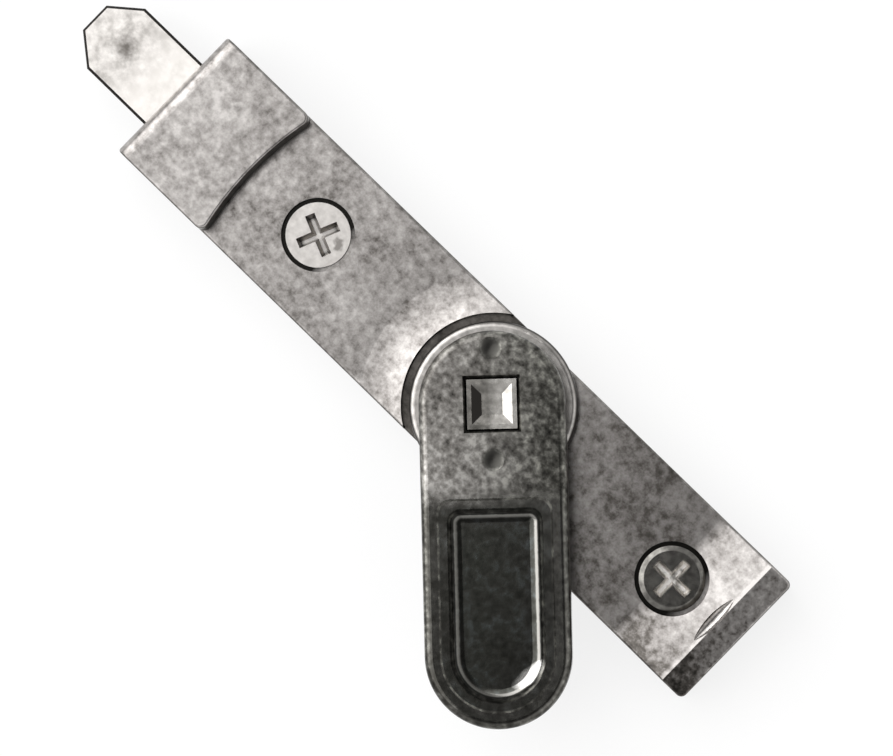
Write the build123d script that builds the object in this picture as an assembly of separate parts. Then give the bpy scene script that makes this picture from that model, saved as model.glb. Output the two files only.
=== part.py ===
from build123d import *
import math
import os

# Surface bolt for a window. A lever on a cast housing turns a pinion, and the pinion drives a flat
# steel bolt out of the housing's nose by a rack in the bolt's window.
# The origin lies on the lever's axis at the back face. +X points along the bolt to its tip, and +Z
# away from the surface that the housing is screwed to. Lengths are in millimetres, angles in degrees.

# Lever: direction at rest and at the two ends of its half turn, measured from +X
lever_rest = 135.7
lever_locked = 180.0
lever_open = 0.0
lever_width = 17.7
lever_reach = 38.9
lever_thickness = 3.8
lever_edge = 1.0

# Finger recess of the lever, a shallow ledge round a deeper floor
ledge_start = 11.3
ledge_margin = 1.9
ledge_depth = 0.25
ledge_wall = 0.25
recess_margin = 3.1
recess_depth = 1.3
recess_wall = 0.45
recess_round = 1.7
recess_corner = 1.6

# Dimples pressed into the lever's head, and the pips that they raise below
dimple_offset = 6.7
dimple_radius = 1.35
dimple_depth = 0.42
pip_radius = 1.1
pip_length = 0.9
pip_play = 0.05

# Pinion and rack
gear_module = 1.0
pinion_teeth = 10
pressure_angle = 25.0
addendum = 0.8
dedendum = 1.1
backlash = 0.24
rack_reach = 2.6

# Spindle
square_side = 6.0
square_play = 0.05
square_sink = 0.35
mouth_side = 6.9
mouth_depth = 0.7
punch_side = 4.9
punch_floor = 2.5
punch_depth = 0.65
journal_radius = 4.5
journal_play = 0.05
stub_radius = 2.5
stub_sink = 0.2

# Bolt
bolt_width = 15.6
bolt_thickness = 3.0
bolt_play = 0.2
bolt_side_play = 0.3
bolt_end_room = 0.4
bolt_tail_bar = 3.2
window_room = 0.4
window_corner = 0.8
tongue_width = 10.3
tongue_reach = 14.3
tongue_play = 0.15
tongue_edge = 0.35
tip_flat = 4.2
tip_bevel = 3.75

# Housing
side_wall = 1.5
deck_thickness = 1.8
housing_edge = 0.35
corner_radius = 0.8
nose_gap = 2.2
nose_length = 13.6
nose_wall = 3.2
nose_lap = 0.4
nose_edge = 1.8
nose_corner = 1.0
tail_length = 40.9
tail_lip = 3.3
tail_ramp = 7.4
tail_round = 8.0
tail_gap = 0.7
tail_drop = 0.8
notch_length = 7.5
notch_radius = 0.75
notch_setback = 0.6

# Hub, with its collar and spring washer
hub_rim_gap = 1.5
hub_ramp = 5.1
collar_radius = 10.2
collar_thickness = 1.5
collar_edge = 0.7
moat_width = 1.1
washer_thickness = 0.4
washer_bow = 0.4
washer_play = 0.1
washer_radius = 9.0
washer_hole_play = 0.9

# Bush
bush_wall = 1.6
bush_flange = 1.5
bush_flange_thickness = 0.6
bush_play = 0.02

# Back plate and its rivets
plate_thickness = 1.2
plate_lip = 0.8
plate_play = 0.1
rivet_radius = 0.7
rivet_head_radius = 1.1
rivet_length = 3.4
rivet_play = 0.03
rivet_margin = 1.9
rivet_setback = 3.7

# Fixing screws
screw_spacing = 60.0
screw_radius = 2.1
shank_radius = 1.85
screw_hole_play = 0.2
thread_setback = 0.3
screw_out = 6.4
screw_point = 2.2
screw_point_radius = 0.35
head_radius = 4.0
head_rim = 0.3
head_sink = 0.1
head_rise = 0.28
head_bevel = 0.6
seat_gap = 0.55
seat_play = 0.03
pillar_wall = 1.0
cross_length = 5.4
cross_width = 1.25
cross_depth = 1.6
cross_taper = 14.0
cross_turn_front = 67.0
cross_turn_rear = 0.0

# Heights that follow
bolt_bottom = plate_thickness + bolt_play
bolt_top = bolt_bottom + bolt_thickness
channel_top = bolt_top + bolt_play
deck_top = channel_top + deck_thickness
collar_bottom = deck_top + washer_thickness + washer_bow + washer_play
lever_bottom = collar_bottom + collar_thickness
lever_top = lever_bottom + lever_thickness
hub_rim = lever_bottom - hub_rim_gap
nose_top = lever_bottom + nose_lap
crest_top = lever_bottom - tail_gap
head_top = deck_top - head_sink
head_seat = head_top - head_rim

# Lengths and radii that follow
pitch_radius = gear_module * pinion_teeth / 2
pinion_radius = pitch_radius + addendum * gear_module
bolt_shot = pitch_radius * math.radians(lever_locked - lever_rest)
bolt_withdrawn = pitch_radius * math.radians(lever_rest - lever_open)
channel_width = bolt_width + 2 * bolt_side_play
housing_width = channel_width + 2 * side_wall
nose_sweep = lever_reach + nose_gap
nose_face = nose_sweep + nose_length
nose_inner = nose_face - nose_wall
crest_x = tail_lip - tail_length
moat_radius = collar_radius + moat_width
screw_x = screw_spacing / 2
screw_hole_radius = screw_radius + screw_hole_play
pillar_radius = screw_hole_radius + pillar_wall
bore_radius = journal_radius + journal_play
bush_radius = bore_radius + bush_wall
plate_tail = plate_lip - tail_length
plate_nose = nose_face - plate_lip
plate_width = housing_width - 2 * plate_lip
rivet_y = plate_width / 2 - rivet_margin
rivet_places = [
    (x, side * rivet_y)
    for x in (plate_tail + rivet_setback, (nose_inner + plate_nose) / 2)
    for side in (-1, 1)
]


def disc(radius, low, high):
    """A round solid on the Z axis between two heights."""
    return extrude(Plane.XY.offset(low) * Circle(radius), amount=high - low)


def block(x_low, x_high, width, low, high):
    """A box that is centred across the housing."""
    middle = Pos((x_low + x_high) / 2, 0, low)
    return extrude(middle * Rectangle(x_high - x_low, width), amount=high - low)


def turned(*profile):
    """A solid of revolution about Z from its half section, given as points of radius and height."""
    return revolve(Plane.XZ * make_face(Polyline(*profile, close=True)), Axis.Z)


def sunk(sketch, top, depth, taper):
    """A tapered pocket below a plane, as the solid to be cut away."""
    return extrude(Plane.XY.offset(top) * sketch, amount=depth, dir=(0, 0, -1), taper=taper)


def side_rims(solid):
    """The upper edges along the housing's two sides."""
    side = housing_width / 2
    rims = solid.edges().filter_by(lambda edge: abs(abs(edge.center().Y) - side) < housing_edge / 4)
    rims = rims.filter_by(Axis.Z, reverse=True)
    return rims.filter_by(lambda edge: edge.center().Z > deck_top - housing_edge)


def deck_and_tail():
    """The housing's side profile behind the nose: flat deck, ramp up to the tail's crest, sloping lip."""
    ramp_x = crest_x + tail_ramp
    tail_edge = crest_top - tail_drop
    outline = [
        Line((-tail_length, 0), (nose_inner, 0)),
        Line((nose_inner, 0), (nose_inner, deck_top)),
        Line((nose_inner, deck_top), (ramp_x, deck_top)),
        Line((ramp_x, deck_top), (crest_x, crest_top)),
        Line((crest_x, crest_top), (-tail_length, tail_edge)),
        Line((-tail_length, tail_edge), (-tail_length, 0)),
    ]
    solid = extrude(Plane.XZ * make_face(outline), amount=housing_width / 2, both=True)
    foot = solid.edges().filter_by(Axis.Y).filter_by_position(Axis.X, ramp_x - tail_lip, ramp_x + tail_lip)
    solid = fillet(foot, tail_round)
    corners = solid.edges().filter_by(Axis.Z).group_by(Axis.X)[0]
    return fillet(corners, corner_radius)


def hub():
    """The round rim in front of the lever's axis, with the deck swept up to it."""
    foot = moat_radius + hub_ramp
    outline = [
        Line((moat_radius, channel_top), (foot, channel_top)),
        Line((foot, channel_top), (foot, deck_top)),
        TangentArc((foot, deck_top), (moat_radius, hub_rim), tangent=(-1, 0)),
        Line((moat_radius, hub_rim), (moat_radius, channel_top)),
    ]
    ring = revolve(Plane.XZ * make_face(outline), Axis.Z)
    return ring & block(0, foot, housing_width, 0, hub_rim)


def nose():
    """The raised block that guides the tongue, with an inner wall that clears the lever's tip."""
    start = math.sqrt(nose_sweep**2 - (housing_width / 2) ** 2) - nose_gap
    plan = Pos((start + nose_face) / 2, 0) * Rectangle(nose_face - start, housing_width)
    plan -= Circle(nose_sweep)
    plan = fillet(plan.vertices().group_by(Axis.X)[0], nose_corner)
    solid = extrude(Plane.XY.offset(deck_top) * plan, amount=nose_top - deck_top)
    solid += block(start + nose_gap + nose_corner / 2, nose_face, housing_width, 0, deck_top)
    front = solid.edges().filter_by(Axis.Y).sort_by(Axis.Z)[-1]
    solid = fillet(front, nose_edge)
    rims = solid.faces().sort_by(Axis.Z)[-1].edges()
    rims = rims.filter_by(lambda edge: edge.center().X < nose_face - 2 * nose_edge)
    rims += solid.edges().filter_by(Axis.Z).group_by(Axis.X)[-1]
    return fillet(rims, housing_edge)


def screw_seat(x):
    """The hole, countersink and counterbore for one fixing screw."""
    depth = head_radius - screw_hole_radius
    rim = head_radius + seat_play
    hole = turned(
        (0, 0),
        (screw_hole_radius, 0),
        (screw_hole_radius, head_seat - depth - seat_play),
        (rim, head_seat),
        (head_radius + seat_gap, head_seat),
        (head_radius + seat_gap, crest_top),
        (0, crest_top),
    )
    return Pos(x, 0, 0) * hole


def notch():
    """A shallow lens-shaped scoop along the tail's crest, as the spindle to be cut away."""
    half = notch_length / 2
    outline = [
        ThreePointArc((0, -half), (notch_radius, 0), (0, half)),
        Line((0, half), (0, -half)),
    ]
    return Pos(crest_x + notch_setback, 0, crest_top) * revolve(make_face(outline), Axis.Y)


def housing():
    """The casting: nose, deck, hub and tail over a channel that is open at the back."""
    solid = deck_and_tail() + hub()
    solid = fillet(side_rims(solid), housing_edge) + nose()
    solid -= block(-screw_x, nose_inner, channel_width, 0, channel_top)
    for x in (-screw_x, screw_x):
        solid += Pos(x, 0, 0) * disc(pillar_radius, plate_thickness, channel_top)
    solid -= block(plate_tail, plate_nose, plate_width, 0, plate_thickness)
    solid -= block(nose_inner, nose_face, tongue_width + 2 * tongue_play, plate_thickness, channel_top)
    solid -= disc(bush_radius + bush_play, channel_top, deck_top)
    solid -= disc(bush_radius + bush_flange + bush_play, deck_top - bush_flange_thickness, deck_top)
    for x in (-screw_x, screw_x):
        solid -= screw_seat(x)
    for x, y in rivet_places:
        solid -= Pos(x, y, 0) * disc(rivet_radius + rivet_play, 0, rivet_length)
    return solid - notch()


def pivot_bush():
    """The flanged bush that the spindle turns in."""
    step = deck_top - bush_flange_thickness
    return turned(
        (bore_radius, channel_top),
        (bush_radius, channel_top),
        (bush_radius, step),
        (bush_radius + bush_flange, step),
        (bush_radius + bush_flange, deck_top),
        (bore_radius, deck_top),
    )


def rack_window():
    """The bolt's window, with the rack's teeth left standing along one side."""
    left = -(bolt_shot + pinion_radius + bolt_end_room)
    right = bolt_withdrawn + pinion_radius + bolt_end_room
    root = -(pitch_radius + dedendum * gear_module)
    tip = -(pitch_radius - addendum * gear_module)
    far = pinion_radius + window_room
    opening = Pos((left + right) / 2, (root + far) / 2) * Rectangle(right - left, far - root)
    opening = fillet(opening.vertices(), window_corner)
    pitch = math.pi * gear_module
    half = (pitch - backlash) / 4
    slope = math.tan(math.radians(pressure_angle)) * gear_module
    root_half = half + dedendum * slope
    tip_half = half - addendum * slope
    first = math.ceil((-bolt_shot - rack_reach) / pitch - 0.5)
    last = math.floor((bolt_withdrawn + rack_reach) / pitch - 0.5)
    for number in range(first, last + 1):
        middle = (number + 0.5) * pitch
        opening -= make_face(
            Polyline(
                (middle - root_half, root),
                (middle + root_half, root),
                (middle + tip_half, tip),
                (middle - tip_half, tip),
                close=True,
            )
        )
    return opening


def bolt():
    """The flat steel bar: tongue, slot round the front pillar, and window with its rack."""
    tip = nose_face + tongue_reach
    shoulder = nose_inner - bolt_shot - bolt_end_room
    rear = -(bolt_shot + pinion_radius + bolt_end_room + bolt_tail_bar)
    outline = [
        (rear, bolt_width / 2),
        (shoulder, bolt_width / 2),
        (shoulder, tongue_width / 2),
        (tip - tip_bevel, tongue_width / 2),
        (tip, tip_flat / 2),
    ]
    mirrored = [(x, -y) for x, y in reversed(outline)]
    bar = make_face(Polyline(*outline, *mirrored, close=True))
    slot_low = screw_x - bolt_shot - pillar_radius - bolt_end_room
    slot_high = screw_x + bolt_withdrawn + pillar_radius + bolt_end_room
    slot_width = 2 * (pillar_radius + bolt_side_play)
    slot = Pos((slot_low + slot_high) / 2, 0) * SlotOverall(slot_high - slot_low, slot_width)
    solid = extrude(Plane.XY.offset(bolt_bottom) * (bar - slot - rack_window()), amount=bolt_thickness)
    tip_edges = solid.edges().filter_by(lambda edge: edge.center().X > shoulder + tongue_edge)
    return chamfer(tip_edges.group_by(Axis.Z)[-1], tongue_edge)


def involute_turn(radius, base):
    """How far an involute has turned from its base circle at a radius, in radians."""
    pressure = math.acos(base / radius)
    return math.tan(pressure) - pressure


def polar(radius, turn):
    """A point at a radius and an angle in radians."""
    return (radius * math.cos(turn), radius * math.sin(turn))


def pinion_outline():
    """The pinion's outline, with involute flanks, in mesh with the rack at rest."""
    base = pitch_radius * math.cos(math.radians(pressure_angle))
    root = pitch_radius - dedendum * gear_module
    half = (math.pi * gear_module - backlash) / 4 / pitch_radius + involute_turn(pitch_radius, base)
    steps = [base + (pinion_radius - base) * step / 3 for step in range(4)]
    pitch = 2 * math.pi / pinion_teeth
    edges = []
    for number in range(pinion_teeth):
        middle = number * pitch - math.pi / 2
        rise = [polar(radius, middle - half + involute_turn(radius, base)) for radius in steps]
        fall = [polar(radius, middle + half - involute_turn(radius, base)) for radius in reversed(steps)]
        foot_in = polar(root, middle - half)
        foot_out = polar(root, middle + half)
        edges += [
            Line(foot_in, rise[0]),
            Spline(*rise),
            ThreePointArc(rise[-1], polar(pinion_radius, middle), fall[0]),
            Spline(*fall),
            Line(fall[-1], foot_out),
            ThreePointArc(foot_out, polar(root, middle + pitch / 2), polar(root, middle + pitch - half)),
        ]
    return make_face(edges)


def pinion_spindle():
    """The spindle in one piece: lower stub, pinion, journal, and square end spread by a punch."""
    top = lever_top - square_sink
    solid = extrude(Plane.XY.offset(bolt_bottom) * pinion_outline(), amount=bolt_thickness)
    solid += disc(stub_radius, stub_sink, bolt_bottom)
    solid += disc(journal_radius, bolt_top, lever_bottom)
    section = Plane.XY.offset(lever_bottom) * Rectangle(square_side, square_side)
    square = extrude(section, amount=top - lever_bottom)
    punch = loft([
        Plane.XY.offset(top) * Rectangle(punch_side, punch_side),
        Plane.XY.offset(top - punch_depth) * Rectangle(punch_floor, punch_floor),
    ])
    return solid + Rot(0, 0, lever_rest) * (square - punch)


def spring_washer():
    """A curved spring washer: a strip bent to an arc and cut to a ring."""
    bend = (washer_radius**2 + washer_bow**2) / (2 * washer_bow)
    centre = Pos(0, deck_top + washer_bow - bend)
    strip = centre * (Circle(bend + washer_thickness) - Circle(bend))
    sheet = extrude(Plane.XZ * strip, amount=washer_radius, both=True)
    ring = disc(washer_radius, deck_top, collar_bottom)
    ring -= disc(journal_radius + washer_hole_play, deck_top, collar_bottom)
    return sheet & ring


def hub_collar():
    """The thin round collar under the lever's head, which turns with it."""
    solid = disc(collar_radius, collar_bottom, lever_bottom)
    solid = fillet(solid.edges().sort_by(Axis.Z)[-1], collar_edge)
    solid -= disc(bore_radius, collar_bottom, lever_bottom)
    for side in (-1, 1):
        hole = disc(pip_radius + pip_play, collar_bottom, lever_bottom)
        solid -= Rot(0, 0, lever_rest) * Pos(side * dimple_offset, 0, 0) * hole
    return solid


def recess_outline(margin):
    """The finger recess in plan: square-ended towards the head, round at the tip."""
    radius = lever_width / 2 - margin
    start = ledge_start + margin - ledge_margin
    middle = lever_reach - lever_width / 2
    sketch = Pos((start + middle) / 2, 0) * Rectangle(middle - start, 2 * radius)
    sketch += Pos(middle, 0) * Circle(radius)
    return fillet(sketch.vertices().group_by(Axis.X)[0], recess_corner)


def finger_recess():
    """The recess as the solid to be cut away: shallow ledge, steep wall, and floor with a round foot."""
    step = lever_top - ledge_depth
    floor = step - recess_depth
    ledge = loft([
        Plane.XY.offset(lever_top) * recess_outline(ledge_margin),
        Plane.XY.offset(step) * recess_outline(ledge_margin + ledge_wall),
    ], ruled=True)
    well = loft([
        Plane.XY.offset(step) * recess_outline(recess_margin),
        Plane.XY.offset(floor) * recess_outline(recess_margin + recess_wall),
    ], ruled=True)
    return ledge + fillet(well.faces().sort_by(Axis.Z)[0].edges(), recess_round)


def lever():
    """The cast lever with its square hole, dimples, pips and stepped finger recess."""
    middle = lever_reach - lever_width / 2
    plan = Pos(middle / 2, 0) * SlotOverall(lever_reach + lever_width / 2, lever_width)
    solid = extrude(Plane.XY.offset(lever_bottom) * plan, amount=lever_thickness)
    solid = fillet(solid.faces().sort_by(Axis.Z)[-1].edges(), lever_edge)
    solid -= finger_recess()
    hole = square_side + 2 * square_play
    solid -= extrude(Plane.XY.offset(lever_bottom) * Rectangle(hole, hole), amount=lever_thickness)
    solid -= loft([
        Plane.XY.offset(lever_top) * Rectangle(mouth_side, mouth_side),
        Plane.XY.offset(lever_top - mouth_depth) * Rectangle(hole, hole),
    ])
    ball = (dimple_radius**2 + dimple_depth**2) / (2 * dimple_depth)
    for side in (-1, 1):
        place = Pos(side * dimple_offset, 0, 0)
        solid -= place * Pos(0, 0, lever_top - dimple_depth + ball) * Sphere(ball)
        solid += place * disc(pip_radius, lever_bottom - pip_length, lever_bottom)
    return Rot(0, 0, lever_rest) * solid


def back_plate():
    """The steel plate that closes the channel and carries the spindle's stub."""
    width = plate_width - 2 * plate_play
    solid = block(plate_tail + plate_play, plate_nose - plate_play, width, 0, plate_thickness)
    solid -= disc(stub_radius + journal_play, 0, plate_thickness)
    for x in (-screw_x, screw_x):
        solid -= Pos(x, 0, 0) * disc(screw_hole_radius, 0, plate_thickness)
    for x, y in rivet_places:
        solid -= Pos(x, y, 0) * rivet(rivet_play)
    return solid


def rivet(play):
    """One countersunk rivet, or with some play the hole that it goes through."""
    shank = rivet_radius + play
    head = rivet_head_radius + play
    return turned((0, 0), (head, 0), (shank, head - shank), (shank, rivet_length), (0, rivet_length))


def plate_rivets():
    """The four rivets of the back plate."""
    return Compound([Pos(x, y, 0) * rivet(0) for x, y in rivet_places])


def fixing_screw(x, rise, cross_turn):
    """A countersunk cross-head screw, its head flat or raised with a bevelled rim."""
    top = head_top + rise
    solid = turned(
        (0, -screw_out),
        (screw_point_radius, -screw_out),
        (screw_radius, screw_point - screw_out),
        (screw_radius, -thread_setback),
        (shank_radius, -thread_setback),
        (shank_radius, head_seat - head_radius + shank_radius),
        (head_radius, head_seat),
        (head_radius, head_top),
        (0, head_top),
    )
    if rise > 0:
        solid += turned((0, head_top), (head_radius, head_top), (head_radius - head_bevel, top), (0, top))
    for turn in (0, 90):
        arm = Rot(0, 0, cross_turn + turn) * Rectangle(cross_length, cross_width)
        solid -= sunk(arm, top, cross_depth, cross_taper)
    return Pos(x, 0, 0) * solid


nodes = {
    "housing": housing(),
    "pivot_bush": pivot_bush(),
    "back_plate": back_plate(),
    "plate_rivets": plate_rivets(),
    "fixing_screw_front": fixing_screw(screw_x, 0, cross_turn_front),
    "fixing_screw_rear": fixing_screw(-screw_x, head_rise, cross_turn_rear),
    "bolt": bolt(),
    "pinion_spindle": pinion_spindle(),
    "spring_washer": spring_washer(),
    "hub_collar": hub_collar(),
    "lever": lever(),
}

os.makedirs("parts", exist_ok=True)
for name, solid in nodes.items():
    export_step(solid, f"parts/{name}.step")
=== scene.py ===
import bpy
import math
from mathutils import Matrix, Vector


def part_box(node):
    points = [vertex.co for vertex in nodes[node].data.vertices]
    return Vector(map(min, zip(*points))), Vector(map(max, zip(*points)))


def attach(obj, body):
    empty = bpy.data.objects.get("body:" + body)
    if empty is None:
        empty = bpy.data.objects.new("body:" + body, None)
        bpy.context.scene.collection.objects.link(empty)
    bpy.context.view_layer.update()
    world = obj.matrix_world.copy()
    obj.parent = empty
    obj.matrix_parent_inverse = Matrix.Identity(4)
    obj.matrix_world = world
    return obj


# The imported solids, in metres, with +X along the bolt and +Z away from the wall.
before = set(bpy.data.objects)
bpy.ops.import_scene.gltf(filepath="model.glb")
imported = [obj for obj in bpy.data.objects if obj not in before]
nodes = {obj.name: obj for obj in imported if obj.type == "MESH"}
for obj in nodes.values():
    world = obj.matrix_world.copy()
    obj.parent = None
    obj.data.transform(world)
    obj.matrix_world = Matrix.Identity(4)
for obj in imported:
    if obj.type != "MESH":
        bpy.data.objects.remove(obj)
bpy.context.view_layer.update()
mm = 0.001


# Housing: one zinc die casting with nose, deck, hub and tail, plated in antique pewter and rubbed.
# Its upper faces are a warm, finely mottled grey. The sides and the hub's groove keep the dark plating,
# and painted shade darkens the corners and the sunk rings round the screws.
def srgb(code):
    """A colour written as sRGB hex, as linear red, green, blue and alpha."""
    parts = [int(code[i:i + 2], 16) / 255 for i in (1, 3, 5)]
    return tuple(c / 12.92 if c <= 0.04045 else ((c + 0.055) / 1.055) ** 2.4 for c in parts) + (1.0,)


def feed(tree, node, inputs):
    """Sets a node's inputs by name or number: to a value, an output, or a node's first output in use."""
    for name, value in inputs.items():
        if isinstance(value, bpy.types.Node):
            value = next(output for output in value.outputs if output.enabled)
        if isinstance(value, bpy.types.NodeSocket):
            tree.links.new(value, node.inputs[name])
        else:
            node.inputs[name].default_value = value


def add(tree, kind, inputs=None, stops=(), **settings):
    """Adds a shader node with its settings, its ramp stops and its inputs.

    A MapRange takes its value from the range between inputs 1 and 2 to the range between 3 and 4, and
    both ranges are 0 to 1 unless given. A Mix of colours goes from input 6 to input 7 by input 0.
    """
    node = tree.nodes.new("ShaderNode" + kind)
    for key, value in settings.items():
        setattr(node, key, value)
    for place, code in stops[2:]:
        node.color_ramp.elements.new(place)
    for element, (place, code) in zip(node.color_ramp.elements if stops else (), stops):
        element.position = place
        element.color = srgb(code)
    feed(tree, node, inputs or {})
    return node


def metal(name, roughness):
    """A bare metal surface: its node tree, its shader, and the object's own coordinates."""
    material = bpy.data.materials.new(name)
    material.use_nodes = True
    tree = material.node_tree
    shader = tree.nodes["Principled BSDF"]
    feed(tree, shader, {"Metallic": 1.0, "Roughness": roughness})
    place = add(tree, "TexCoord").outputs["Object"]
    return material, tree, shader, place


def finish(material, *names):
    """Puts a finish on CAD nodes."""
    for name in names:
        mesh = nodes[name].data
        mesh.materials.clear()
        mesh.materials.append(material)


groove_radius = 11.3 * mm
deck_height = 6.4 * mm
screw_place = 30.0 * mm
lever_shadow_offset = 17.0 * mm
crest_place = -37.4 * mm
pewter, tree, shader, place = metal("antique_pewter_on_zinc", 0.3)
grain = add(tree, "TexNoise", {"Vector": place, "Scale": 1 / (1.1 * mm), "Detail": 4.0, "Roughness": 0.68})
blotch = add(tree, "TexNoise", {"Vector": place, "Scale": 1 / (6.0 * mm), "Detail": 2.0})
mottle = add(tree, "Math", {0: blotch, 1: 0.5, 2: grain}, operation="MULTIPLY_ADD")
x, y, z = add(tree, "SeparateXYZ", {0: place}).outputs
facing = add(tree, "SeparateXYZ", {0: add(tree, "TexCoord").outputs["Normal"]})
upper = add(tree, "MapRange", {"Value": facing.outputs["Z"], 1: 0.55, 2: 0.86})

# The deck is rubbed less than the nose. A painted shadow darkens it beside the lever, away from the key lamp,
# and a painted highlight lightens the tail's crest. The tail darkens towards +Y, its slopes that face the key
# lamp get a painted highlight, and its lip is pitted and darkened with painted shade.
raised = add(tree, "MapRange", {"Value": z, 1: deck_height + 0.1 * mm, 2: deck_height + 1.2 * mm,
                                3: -0.075, 4: -0.015})
# Painted shadow: a band of the deck beside the lever, on the side away from the key lamp, is darkened where
# the lever's shadow would fall.
lever_shadow_distance = add(tree, "Math", {0: x, 1: lever_shadow_offset}, operation="ADD")
lever_shadow_distance = add(tree, "Math", {0: lever_shadow_distance}, operation="ABSOLUTE")
painted_lever_shadow = add(tree, "MapRange", {"Value": lever_shadow_distance, 1: 8.0 * mm, 2: 13.0 * mm, 3: -0.1, 4: 0.0})
# Painted highlight: a thin lighter strip along the tail's crest.
crest = add(tree, "MapRange", {"Value": x, 1: crest_place + 0.4 * mm, 2: crest_place, 3: 0.0, 4: 0.3})
tail = add(tree, "MapRange", {"Value": x, 1: -screw_place + 2.0 * mm, 2: -screw_place - 2.0 * mm})
# On the tail the tone darkens towards +Y, and faces sloping towards the key lamp are lightened as a painted
# highlight.
painted_slope_highlight = add(tree, "MapRange", {"Value": facing.outputs["X"], 1: 0.1, 2: 0.22, 3: 0.0, 4: 0.05})
tail_darkening_and_highlight = add(tree, "MapRange", {"Value": y, 1: 2.0 * mm, 2: 8.5 * mm, 3: 0.0, 4: -0.3})
tail_darkening_and_highlight = add(tree, "Math", {0: tail_darkening_and_highlight, 1: painted_slope_highlight}, operation="ADD")
tail_darkening_and_highlight = add(tree, "Math", {0: tail_darkening_and_highlight, 1: tail}, operation="MULTIPLY")
lip = add(tree, "MapRange", {"Value": x, 1: crest_place - 0.2 * mm, 2: crest_place - 0.3 * mm})
lip = add(tree, "Math", {0: lip, 1: upper}, operation="MULTIPLY")
# The lip is pitted, and it is also darkened overall as painted shade, since it slopes away from the key lamp.
pitted_lip_shade = add(tree, "TexNoise", {"Vector": place, "Scale": 1 / (0.6 * mm), "Detail": 3.0})
pitted_lip_shade = add(tree, "MapRange", {"Value": pitted_lip_shade, 1: 0.3, 2: 0.7, 3: -0.53, 4: -0.18})
pitted_lip_shade = add(tree, "Math", {0: pitted_lip_shade, 1: lip}, operation="MULTIPLY")
wear = mottle
for change in (raised, painted_lever_shadow, crest, tail_darkening_and_highlight, pitted_lip_shade):
    wear = add(tree, "Math", {0: wear, 1: change}, operation="ADD")
tone = add(tree, "ValToRGB", {"Fac": wear}, stops=(
    (0.20, "#34322F"), (0.44, "#625E5A"), (0.60, "#8E8A87"), (0.74, "#A5A19E"), (0.96, "#C6C2BF")))

# The rubbed tone lies on upper faces and on the nose's front edge, but not in the hub's groove. On the front
# edge, which faces the key lamp, it is a painted highlight.
# Painted highlight: the upper part of the nose's front, facing the key lamp, takes the pale rubbed tone.
painted_front_highlight = add(tree, "MapRange", {"Value": z, 1: deck_height + 0.9 * mm, 2: deck_height + 1.5 * mm})
front = add(tree, "MapRange", {"Value": facing.outputs["X"], 1: 0.5, 2: 0.7})
painted_front_highlight = add(tree, "Math", {0: painted_front_highlight, 1: front}, operation="MULTIPLY")
upper_and_front_edge = add(tree, "Math", {0: upper, 1: painted_front_highlight}, operation="MAXIMUM")
level = add(tree, "VectorMath", {0: place, 1: (1.0, 1.0, 0.0)}, operation="MULTIPLY")
radius = add(tree, "VectorMath", {0: level}, operation="LENGTH")
outside = add(tree, "Math", {0: radius, 1: groove_radius}, operation="GREATER_THAN")
behind = add(tree, "Math", {0: x, 1: 0.0}, operation="LESS_THAN")
ungrooved = add(tree, "Math", {0: outside, 1: behind}, operation="MAXIMUM")
pale_share = add(tree, "Math", {0: upper_and_front_edge, 1: ungrooved}, operation="MULTIPLY")
plating = add(tree, "ValToRGB", {"Fac": mottle}, stops=((0.5, "#34322F"), (1.0, "#6C6864")))
surface_colour = add(tree, "Mix", {0: pale_share, 6: plating, 7: tone}, data_type="RGBA")

# Painted shade fills the corners, by their occlusion, and the sunk rings round the screws, except on the side
# of each ring whose wall faces the key lamp.
seat = add(tree, "Math", {0: x, 1: screw_place}, operation="SUBTRACT")
seat = add(tree, "Math", {0: seat, 1: screw_place, 2: -screw_place}, operation="WRAP")
lit_ring_side = add(tree, "MapRange", {"Value": seat, 1: -2.4 * mm, 2: -3.9 * mm})
above = add(tree, "MapRange", {"Value": z, 1: deck_height - 0.3 * mm, 2: deck_height - 0.15 * mm})
above = add(tree, "Math", {0: above, 1: lit_ring_side}, operation="MAXIMUM")
painted_ring_shadow = add(tree, "Math", {0: 1.0, 1: above}, operation="SUBTRACT")
painted_ring_shadow = add(tree, "Math", {0: painted_ring_shadow, 1: upper}, operation="MULTIPLY")
# Painted shade in the corners, from occlusion.
occlusion = add(tree, "AmbientOcclusion", {"Distance": 0.25 * mm}, samples=8)
painted_shade = add(tree, "MapRange", {"Value": occlusion.outputs["AO"], 1: 0.7, 2: 0.3})
painted_shade = add(tree, "Math", {0: painted_shade, 1: painted_ring_shadow}, operation="MAXIMUM")
surface_colour = add(tree, "Mix", {0: painted_shade, 6: surface_colour, 7: srgb("#1F1E1C")}, data_type="RGBA")
gloss = add(tree, "MapRange", {"Value": grain, 1: 0.3, 2: 0.7, 3: 0.36, 4: 0.28})
relief = add(tree, "Bump", {"Height": mottle, "Distance": 0.01 * mm, "Strength": 1.0})
feed(tree, shader, {"Base Color": surface_colour, "Roughness": gloss, "Normal": relief})
finish(pewter, "housing")

# Bush: a flanged ring turned from brass bar and pressed into the hub, dull from the lathe.
# Brass gives a warm yellow with duller patches.
brass, tree, shader, place = metal("turned_brass", 0.34)
cloud = add(tree, "TexNoise", {"Vector": place, "Scale": 1 / (1.5 * mm), "Detail": 2.0})
tone = add(tree, "ValToRGB", {"Fac": cloud}, stops=((0.3, "#8E6B34"), (0.7, "#C49A55")))
feed(tree, shader, {"Base Color": tone})
finish(brass, "pivot_bush")

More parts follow.
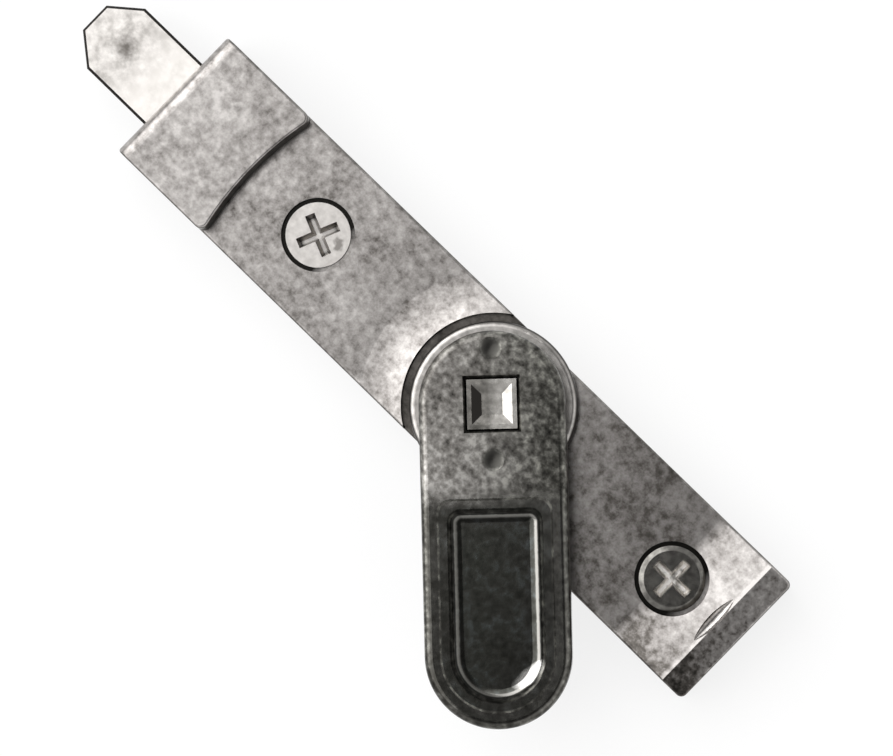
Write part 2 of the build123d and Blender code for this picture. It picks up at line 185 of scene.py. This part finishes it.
# Bolt: a flat bar of bright drawn steel, with its tip ground to a blunt point and its edges bevelled.
# Drawn steel is nearly white. The tip is clouded grey from handling, with a dull smudge on its top, the
# sides are greyer, and the bevels are painted nearly black, as painted shade.
steel, tree, shader, place = metal("bright_drawn_steel", 0.3)
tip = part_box("bolt")[1].x
bolt_top = 4.4 * mm
cloud = add(tree, "TexNoise", {"Vector": place, "Scale": 1 / (1.3 * mm), "Detail": 4.0, "Roughness": 0.6})
tip_tone = add(tree, "ValToRGB", {"Fac": cloud},
               stops=((0.32, "#A8A4A0"), (0.50, "#C8C4C0"), (0.68, "#DEDAD6")))
rear_tone = add(tree, "ValToRGB", {"Fac": cloud}, stops=((0.3, "#D2CEC9"), (0.7, "#E6E2DE")))
along = add(tree, "SeparateXYZ", {0: place})
uneven = add(tree, "Math", {0: cloud, 1: 6.0 * mm, 2: along.outputs["X"]}, operation="MULTIPLY_ADD")
handled = add(tree, "MapRange", {"Value": uneven, 1: tip - 8.5 * mm, 2: tip - 4.0 * mm})
tone = add(tree, "Mix", {0: handled, 6: rear_tone, 7: tip_tone}, data_type="RGBA")
spot = add(tree, "Mapping", {"Vector": place, "Location": (tip - 5.6 * mm, 0.0, bolt_top),
                             "Rotation": (0.0, 0.0, math.radians(-46)),
                             "Scale": (2.2 * mm, 1.6 * mm, 1.5 * mm)}, vector_type="TEXTURE")
away = add(tree, "VectorMath", {0: spot}, operation="LENGTH")
speck = add(tree, "TexNoise", {"Vector": place, "Scale": 1 / (0.6 * mm), "Detail": 2.0})
ragged = add(tree, "Math", {0: speck, 1: 1.0, 2: away}, operation="MULTIPLY_ADD")
smudge = add(tree, "MapRange", {"Value": ragged, 1: 0.6, 2: 1.6})
dirty = add(tree, "Mix", {0: smudge, 6: srgb("#6A6662"), 7: tone}, data_type="RGBA")
facing = add(tree, "SeparateXYZ", {0: add(tree, "TexCoord").outputs["Normal"]})
flat = add(tree, "Math", {0: facing.outputs["Z"]}, operation="ABSOLUTE")
pale_share = add(tree, "MapRange", {"Value": flat, 1: 0.75, 2: 0.95})
# Painted shade: the bevels between the top and the sides are painted nearly black.
side = add(tree, "MapRange", {"Value": flat, 1: 0.4, 2: 0.2})
edged = add(tree, "Mix", {0: side, 6: srgb("#2E2C2A"), 7: srgb("#94918D")}, data_type="RGBA")
edged = add(tree, "Mix", {0: pale_share, 6: edged, 7: dirty}, data_type="RGBA")
relief = add(tree, "Bump", {"Height": cloud, "Distance": 0.005 * mm, "Strength": 1.0})
feed(tree, shader, {"Base Color": edged, "Normal": relief})
finish(steel, "bolt")

# Spindle: turned from steel bar, with its pinion cut on it and its square end spread into the lever by a
# punch. The punched end is painted lighter on the half whose walls face the key lamp and darker on the other,
# one wall of the punch mark and the rim are painted dark as painted shade, and painted shade darkens its
# corners.
turned, tree, shader, place = metal("turned_steel", 0.26)
lever_turn = math.radians(135.7)
lever_side = (math.sin(lever_turn), -math.cos(lever_turn), 0.0)
cloud = add(tree, "TexNoise", {"Vector": place, "Scale": 1 / (0.9 * mm), "Detail": 3.0})
across = add(tree, "VectorMath", {0: place, 1: lever_side}, operation="DOT_PRODUCT")
# Painted light: the half whose walls face the key lamp takes a lighter copy of the tone, and the other half a
# darker copy.
lamp_side_half = add(tree, "MapRange", {"Value": across, 1: 0.6 * mm, 2: -0.6 * mm})
shaded_tone = add(tree, "ValToRGB", {"Fac": cloud}, stops=((0.3, "#615F5B"), (0.7, "#96938E")))
lit_tone = add(tree, "ValToRGB", {"Fac": cloud}, stops=((0.3, "#9E9B96"), (0.7, "#CAC7C2")))
tone = add(tree, "Mix", {0: lamp_side_half, 6: shaded_tone, 7: lit_tone}, data_type="RGBA")
normal = add(tree, "TexCoord").outputs["Normal"]
# Painted shade on faces turned away from the key lamp.
leaning = add(tree, "VectorMath", {0: normal, 1: lever_side}, operation="DOT_PRODUCT")
shaded_wall = add(tree, "MapRange", {"Value": leaning, 1: -0.1, 2: -0.3})
tone = add(tree, "Mix", {0: shaded_wall, 6: tone, 7: srgb("#2C2A28")}, data_type="RGBA")
# Painted shade in the corners, from occlusion.
occlusion = add(tree, "AmbientOcclusion", {"Distance": 0.5 * mm}, samples=8)
open_face = add(tree, "MapRange", {"Value": occlusion.outputs["AO"], 1: 0.3, 2: 0.7})
surface_colour = add(tree, "Mix", {0: open_face, 6: srgb("#1E1D1C"), 7: tone}, data_type="RGBA")
feed(tree, shader, {"Base Color": surface_colour})
finish(turned, "pinion_spindle")

# Collar: a thin ring turned from steel, under the lever's head. Its rounded rim is pale steel, so that it
# shows as a pale line round the head, and below the rim it is painted dark, as painted shade.
shaded_rim_steel, tree, shader, place = metal("steel_rim_painted_shade", 0.3)
cloud = add(tree, "TexNoise", {"Vector": place, "Scale": 1 / (0.9 * mm), "Detail": 3.0})
tone = add(tree, "ValToRGB", {"Fac": cloud}, stops=((0.3, "#9A9793"), (0.7, "#C8C4C0")))
facing = add(tree, "SeparateXYZ", {0: add(tree, "TexCoord").outputs["Normal"]})
# Painted shade: the faces below the rim's top are painted dark.
rim = add(tree, "MapRange", {"Value": facing.outputs["Z"], 1: 0.6, 2: 0.88})
surface_colour = add(tree, "Mix", {0: rim, 6: srgb("#3A3835"), 7: tone}, data_type="RGBA")
feed(tree, shader, {"Base Color": surface_colour})
finish(shaded_rim_steel, "hub_collar")

# Back plate and rivets: zinc plated steel sheet, pressed flat, held by four countersunk rivets.
# Zinc plating gives a pale, slightly blue grey with a faint cloud.
zinc, tree, shader, place = metal("zinc_plated_sheet", 0.38)
cloud = add(tree, "TexNoise", {"Vector": place, "Scale": 1 / (3.0 * mm), "Detail": 4.0})
tone = add(tree, "ValToRGB", {"Fac": cloud}, stops=((0.3, "#8B8E90"), (0.7, "#B5B8BA")))
feed(tree, shader, {"Base Color": tone})
finish(zinc, "back_plate", "plate_rivets")

# Spring washer: blued spring steel strip, bowed, between the hub's floor and the collar.
# Bluing gives a dark grey with a blue cast.
blued, tree, shader, place = metal("blued_spring_steel", 0.3)
cloud = add(tree, "TexNoise", {"Vector": place, "Scale": 1 / (1.5 * mm), "Detail": 3.0})
tone = add(tree, "ValToRGB", {"Fac": cloud}, stops=((0.3, "#2E3034"), (0.7, "#54575C")))
feed(tree, shader, {"Base Color": tone})
finish(blued, "spring_washer")

# Lever: zinc die casting plated in dark antique pewter. Its grip and finger recess are polished dark,
# and its head is mottled, where the plating is rubbed, and painted lighter on the side towards the key lamp.
lever_top = 12.6 * mm
lever_axis = (math.cos(lever_turn), math.sin(lever_turn), 0.0)
dimple_reach = 6.7 * mm
grip_start = 11.3 * mm
glint_place = (-25.9 * mm, 19.8 * mm, lever_top - 1.3 * mm)
dark_pewter, tree, shader, place = metal("dark_antique_pewter", 0.25)
grain = add(tree, "TexNoise", {"Vector": place, "Scale": 1 / (0.9 * mm), "Detail": 3.0, "Roughness": 0.55})
blotch = add(tree, "TexNoise", {"Vector": place, "Scale": 1 / (3.0 * mm), "Detail": 2.0})
mottle = add(tree, "Math", {0: blotch, 1: 0.45, 2: grain}, operation="MULTIPLY_ADD")
reach = add(tree, "VectorMath", {0: place, 1: lever_axis}, operation="DOT_PRODUCT")
across = add(tree, "VectorMath", {0: place, 1: lever_side}, operation="DOT_PRODUCT")
height = add(tree, "SeparateXYZ", {0: place})
normal = add(tree, "TexCoord").outputs["Normal"]
facing = add(tree, "SeparateXYZ", {0: normal})
facing_up = facing.outputs["Z"]
leaning = add(tree, "VectorMath", {0: normal, 1: lever_side}, operation="DOT_PRODUCT")

# The head is painted darker on the side away from the key lamp, as painted shade, and its two dimples are
# dark.
lamp_side = add(tree, "MapRange", {"Value": across, 1: -6.0 * mm, 2: 6.0 * mm})
lower = add(tree, "MapRange", {"Value": reach, 1: 2.0 * mm, 2: 9.0 * mm, 3: 0.0, 4: 0.12})
lower = add(tree, "Math", {0: mottle, 1: lower}, operation="ADD")
lit_head_tone = add(tree, "ValToRGB", {"Fac": lower},
                 stops=((0.46, "#3C3A37"), (0.66, "#75726E"), (0.80, "#93908C"), (0.96, "#BAB7B3")))
shaded_head_tone = add(tree, "ValToRGB", {"Fac": mottle},
                stops=((0.46, "#1F1E1C"), (0.66, "#484743"), (0.80, "#6A6964"), (0.96, "#98978F")))
head = add(tree, "Mix", {0: lamp_side, 6: shaded_head_tone, 7: lit_head_tone}, data_type="RGBA")
beside = add(tree, "Math", {0: reach}, operation="ABSOLUTE")
beside = add(tree, "Math", {0: beside, 1: dimple_reach}, operation="SUBTRACT")
beside = add(tree, "CombineXYZ", {0: beside, 1: across})
beside = add(tree, "VectorMath", {0: beside}, operation="LENGTH")
dimple = add(tree, "MapRange", {"Value": beside, 1: 1.5 * mm, 2: 1.0 * mm})
head = add(tree, "Mix", {0: dimple, 6: head, 7: srgb("#474643")}, data_type="RGBA")

# The grip's rim is paler on the side away from the key lamp. In its recess, the foot of the wall has a thin
# painted highlight, the steep wall above it has painted shade, and one corner has a painted highlight.
floor_tone = add(tree, "ValToRGB", {"Fac": mottle},
                 stops=((0.50, "#3C3C38"), (0.75, "#4F4F4B"), (1.0, "#646867")))
# The rim's tone is shifted paler on the side away from the key lamp and darker on the side towards it.
paler = add(tree, "MapRange", {"Value": across, 1: -8.0 * mm, 2: 8.0 * mm, 3: 0.18, 4: -0.2})
paler = add(tree, "Math", {0: mottle, 1: paler}, operation="ADD")
rim_tone = add(tree, "ValToRGB", {"Fac": paler},
               stops=((0.45, "#454440"), (0.75, "#605F5B"), (1.05, "#7C7B76")))
rim = add(tree, "MapRange", {"Value": height.outputs["Z"], 1: lever_top - 0.4 * mm,
                             2: lever_top - 0.1 * mm})
hollow = add(tree, "MapRange", {"Value": rim, 1: 0.5, 2: 0.0})
# Painted highlight: a thin pale line at the foot of the recess's wall, fullest on walls facing the key lamp.
lamp_facing = add(tree, "MapRange", {"Value": leaning, 1: -0.15, 2: 0.15, 3: 0.35, 4: 1.0})
rising = add(tree, "MapRange", {"Value": facing_up, 1: 0.955, 2: 0.93})
steep = add(tree, "MapRange", {"Value": facing_up, 1: 0.86, 2: 0.80})
painted_highlight_line = add(tree, "Math", {0: rising, 1: steep}, operation="SUBTRACT")
painted_highlight_line = add(tree, "Math", {0: painted_highlight_line, 1: hollow}, operation="MULTIPLY")
painted_highlight_line = add(tree, "Math", {0: painted_highlight_line, 1: lamp_facing}, operation="MULTIPLY")
# Painted shade on the steep wall above it.
darkened = add(tree, "Math", {0: steep, 1: hollow}, operation="MULTIPLY")
# Painted highlight: a bright patch in one corner of the recess.
spot = add(tree, "Mapping", {"Vector": place, "Location": glint_place,
                             "Rotation": (0.0, 0.0, math.radians(82)),
                             "Scale": (2.6 * mm, 0.9 * mm, 1.0)}, vector_type="TEXTURE")
away = add(tree, "VectorMath", {0: spot}, operation="LENGTH")
ragged = add(tree, "Math", {0: grain, 1: 0.5, 2: away}, operation="MULTIPLY_ADD")
painted_glint = add(tree, "MapRange", {"Value": ragged, 1: 1.4, 2: 0.9})
painted_glint = add(tree, "Math", {0: painted_glint, 1: hollow}, operation="MULTIPLY")
grip_tone = add(tree, "Mix", {0: rim, 6: floor_tone, 7: rim_tone}, data_type="RGBA")
for share, code in ((painted_highlight_line, "#8C8A86"), (darkened, "#1E1E1C"), (painted_glint, "#E4E2DE")):
    grip_tone = add(tree, "Mix", {0: share, 6: grip_tone, 7: srgb(code)}, data_type="RGBA")
uneven = add(tree, "Math", {0: blotch, 1: 3.0 * mm, 2: reach}, operation="MULTIPLY_ADD")
grip = add(tree, "MapRange", {"Value": uneven, 1: grip_start, 2: grip_start + 2.7 * mm})
colour = add(tree, "Mix", {0: grip, 6: head, 7: grip_tone}, data_type="RGBA")

# The sides and the brink of the top are painted dark with the shaded head tone, as painted shade, and painted
# shade makes the inner corners nearly black.
edge = add(tree, "MapRange", {"Value": facing_up, 1: 0.8, 2: 0.5})
outside_glint = add(tree, "MapRange", {"Value": painted_glint, 3: 1.0, 4: 0.0})
edge = add(tree, "Math", {0: edge, 1: outside_glint}, operation="MULTIPLY")
brink = add(tree, "MapRange", {"Value": facing_up, 1: 0.95, 2: 0.8})
brink = add(tree, "Math", {0: brink, 1: rim}, operation="MULTIPLY")
edge = add(tree, "Math", {0: edge, 1: brink}, operation="MAXIMUM")
colour = add(tree, "Mix", {0: edge, 6: colour, 7: shaded_head_tone}, data_type="RGBA")
# Painted shade in the inner corners, from occlusion.
occlusion = add(tree, "AmbientOcclusion", {"Distance": 0.5 * mm}, only_local=True, samples=8)
open_face = add(tree, "MapRange", {"Value": occlusion.outputs["AO"], 1: 0.35, 2: 0.8})
surface_colour = add(tree, "Mix", {0: open_face, 6: srgb("#161615"), 7: colour}, data_type="RGBA")
gloss = add(tree, "MapRange", {"Value": grip, 3: 0.36, 4: 0.18})
depth = add(tree, "MapRange", {"Value": grip, 3: 1.0, 4: 0.3})
raised = add(tree, "Math", {0: mottle, 1: depth}, operation="MULTIPLY")
relief = add(tree, "Bump", {"Height": raised, "Distance": 0.02 * mm, "Strength": 1.0})
feed(tree, shader, {"Base Color": surface_colour, "Roughness": gloss, "Normal": relief})
finish(dark_pewter, "lever")

# Front screw: a countersunk cross-head steel screw, nickel plated.
# Nickel gives a bright warm grey, here with a darker patch beside the cross and painted shade in the cross's
# corners.
head_height = 6.3 * mm
nickel, tree, shader, place = metal("nickel_plated_screw", 0.28)
cloud = add(tree, "TexNoise", {"Vector": place, "Scale": 1 / (0.9 * mm), "Detail": 3.0})
tone = add(tree, "ValToRGB", {"Fac": cloud}, stops=((0.3, "#B8B4B0"), (0.7, "#D2CECA")))
spot = add(tree, "VectorMath", {0: place, 1: (screw_place - 2.6 * mm, -0.9 * mm, head_height)},
           operation="DISTANCE")
ragged = add(tree, "Math", {0: cloud, 1: 1.6 * mm, 2: spot}, operation="MULTIPLY_ADD")
darkened = add(tree, "MapRange", {"Value": ragged, 1: 1.6 * mm, 2: 1.2 * mm})
marked = add(tree, "Mix", {0: darkened, 6: tone, 7: srgb("#8C8884")}, data_type="RGBA")
# Painted shade in the cross's corners, from occlusion.
occlusion = add(tree, "AmbientOcclusion", {"Distance": 0.5 * mm}, only_local=True, samples=8)
open_face = add(tree, "MapRange", {"Value": occlusion.outputs["AO"], 1: 0.35, 2: 0.8})
surface_colour = add(tree, "Mix", {0: open_face, 6: srgb("#24221F"), 7: marked}, data_type="RGBA")
feed(tree, shader, {"Base Color": surface_colour})
finish(nickel, "fixing_screw_front")

# Rear screw: the same kind of screw with a raised head, in dark nickel plating.
# The plating is scraped off in the cross, which the driver left bright and uneven, and painted near white
# there as a painted highlight.
dark_nickel, tree, shader, place = metal("dark_nickel_screw", 0.22)
cloud = add(tree, "TexNoise", {"Vector": place, "Scale": 1 / (0.9 * mm), "Detail": 3.0})
tone = add(tree, "ValToRGB", {"Fac": cloud}, stops=((0.3, "#5A5855"), (0.7, "#8A8883")))
# Painted highlight: the cross's bared steel is lightened to near white.
paler = add(tree, "ValToRGB", {"Fac": cloud}, stops=((0.36, "#9C9994"), (0.54, "#F7F4F0")))
height = add(tree, "SeparateXYZ", {0: place})
top = add(tree, "MapRange", {"Value": height.outputs["Z"], 1: head_height - 0.25 * mm,
                             2: head_height - 0.1 * mm})
shank = add(tree, "MapRange", {"Value": height.outputs["Z"], 1: 2.5 * mm, 2: 2.0 * mm})
plated = add(tree, "Math", {0: top, 1: shank}, operation="MAXIMUM")
surface_colour = add(tree, "Mix", {0: plated, 6: paler, 7: tone}, data_type="RGBA")
gloss = add(tree, "MapRange", {"Value": plated, 3: 0.5, 4: 0.22})
feed(tree, shader, {"Base Color": surface_colour, "Roughness": gloss})
finish(dark_nickel, "fixing_screw_rear")

# Screw threads: a coarse thread rolled on each shank behind the wall's face, down to the screw's point.
# Each is a ridge in the finish of its screw, and moves with it.
thread_radius = 2.1 * mm
thread_pitch = 1.4 * mm
thread_height = 0.24 * mm
thread_top = -0.5 * mm
thread_end = -6.0 * mm
ridge_half = 0.22 * thread_pitch
ridge_sink = 0.05 * thread_height
cone_top = -4.2 * mm
cone_length = 2.2 * mm
point_radius = 0.35 * mm
cone_slope = (thread_radius - point_radius) / cone_length
turn_steps = 40


def screw_thread(name, x, material):
    """A helical ridge round a screw's shank, which runs down its point and fades out at both ends."""
    steps = int((thread_top - thread_end) / thread_pitch * turn_steps)
    points = []
    for step in range(steps + 1):
        turn = 2 * math.pi * step / turn_steps
        z = thread_top - thread_pitch * step / turn_steps
        root = thread_radius - cone_slope * max(0.0, cone_top - z)
        fade = min(1.0, step / turn_steps * 2, (steps - step) / turn_steps * 2)
        foot = root - ridge_sink
        crest = root + fade * thread_height
        for r, rise in ((foot, ridge_half), (crest, 0.0), (foot, -ridge_half)):
            points.append((x + r * math.cos(turn), r * math.sin(turn), z + rise))
    faces = []
    for first in range(0, 3 * steps, 3):
        faces.append((first, first + 3, first + 4, first + 1))
        faces.append((first + 1, first + 4, first + 5, first + 2))
    mesh = bpy.data.meshes.new(name)
    mesh.from_pydata(points, [], faces)
    mesh.materials.append(material)
    ridge = bpy.data.objects.new(name, mesh)
    bpy.context.scene.collection.objects.link(ridge)
    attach(ridge, "base")


screw_thread("screw_thread_front", screw_place, nickel)
screw_thread("screw_thread_rear", -screw_place, dark_nickel)

# Studio: the part lies on a white wall board, which is the floor here, in a pale room that is dim overhead.
# The board's glow shows to the eye and in the metal. A large soft lamp with a brighter middle stands on the
# side of the bolt's tip, and a weak one across from it.
board_size = 6.0
board_gap = 0.02 * mm
board_glow = 0.8
bpy.ops.mesh.primitive_plane_add(size=board_size, location=(0, 0, -board_gap))
board = bpy.context.object
board.name = "wall_board"
white = bpy.data.materials.new("white_board")
white.use_nodes = True
tree = white.node_tree
rays = add(tree, "LightPath").outputs
seen = add(tree, "Math", {0: rays["Is Camera Ray"], 1: rays["Is Glossy Ray"]}, operation="MAXIMUM")
seen = add(tree, "Math", {0: seen, 1: rays["Is Transmission Ray"]}, operation="MAXIMUM")
glow = add(tree, "Math", {0: seen, 1: board_glow}, operation="MULTIPLY")
feed(tree, tree.nodes["Principled BSDF"], {
    "Base Color": srgb("#7C7C7C"), "Roughness": 1.0, "Specular IOR Level": 0.0,
    "Emission Color": srgb("#FFFFFF"), "Emission Strength": glow})
board.data.materials.append(white)

walls_end = math.radians(35)
ceiling_start = math.radians(65)
wall_light = 0.78
ceiling_light = 0.1
room = bpy.data.worlds.new("pale_room")
room.use_nodes = True
tree = room.node_tree
direction = add(tree, "SeparateXYZ", {0: add(tree, "TexCoord").outputs["Generated"]})
level = add(tree, "MapRange", {"Value": direction.outputs["Z"], 1: math.sin(walls_end),
                               2: math.sin(ceiling_start), 3: wall_light, 4: ceiling_light})
feed(tree, tree.nodes["Background"], {"Strength": level, "Color": srgb("#FFFFFF")})
bpy.context.scene.world = room

lamp_distance = 1.5


def softbox(name, turn, tilt, spread, width, radiance):
    """A soft lamp that faces the part, placed by its turn and tilt from +X and +Z and its half angles."""
    light = bpy.data.lights.new(name, "AREA")
    light.shape = "RECTANGLE"
    light.size = 2 * lamp_distance * math.tan(math.radians(spread))
    light.size_y = 2 * lamp_distance * math.tan(math.radians(width))
    light.energy = radiance * math.pi * light.size * light.size_y
    lamp = bpy.data.objects.new(name, light)
    turned_round = Matrix.Rotation(math.radians(turn), 4, "Z")
    tilted = Matrix.Rotation(math.radians(tilt), 4, "Y")
    lamp.matrix_world = turned_round @ tilted @ Matrix.Translation((0, 0, lamp_distance))
    bpy.context.scene.collection.objects.link(lamp)


softbox("key_wide", turn=16, tilt=42, spread=37, width=40, radiance=1.6)
softbox("key_core", turn=16, tilt=48, spread=18, width=27, radiance=0.8)
softbox("fill", turn=200, tilt=52, spread=24, width=40, radiance=0.3)

# Camera: straight above but for a few degrees, turned so that the bolt points to the upper left.
# The numbers were fitted to the screws, the lever and the housing's edges in the photo.
aim = Vector((6.52, 1.59, 6.4)) * mm
distance = 450 * mm
lean = math.radians(4.38)
lean_towards = math.radians(184.8)
roll = math.radians(135.9)
pixels_per_mm = 8.23
photo_width = 893
back = Vector((math.sin(lean) * math.cos(lean_towards), math.sin(lean) * math.sin(lean_towards),
               math.cos(lean)))
right = Vector((math.cos(roll), -math.sin(roll), 0))
right = (right - right.dot(back) * back).normalized()
up = back.cross(right)
camera = bpy.data.cameras.new("camera")
camera.sensor_width = 36
camera.lens = camera.sensor_width * pixels_per_mm * (distance / mm) / photo_width
eye = bpy.data.objects.new("camera", camera)
turned_to_part = Matrix((right, up, back)).transposed().to_4x4()
eye.matrix_world = Matrix.Translation(aim + distance * back) @ turned_to_part
bpy.context.scene.collection.objects.link(eye)
bpy.context.scene.camera = eye
bpy.context.scene.view_settings.view_transform = "Standard"
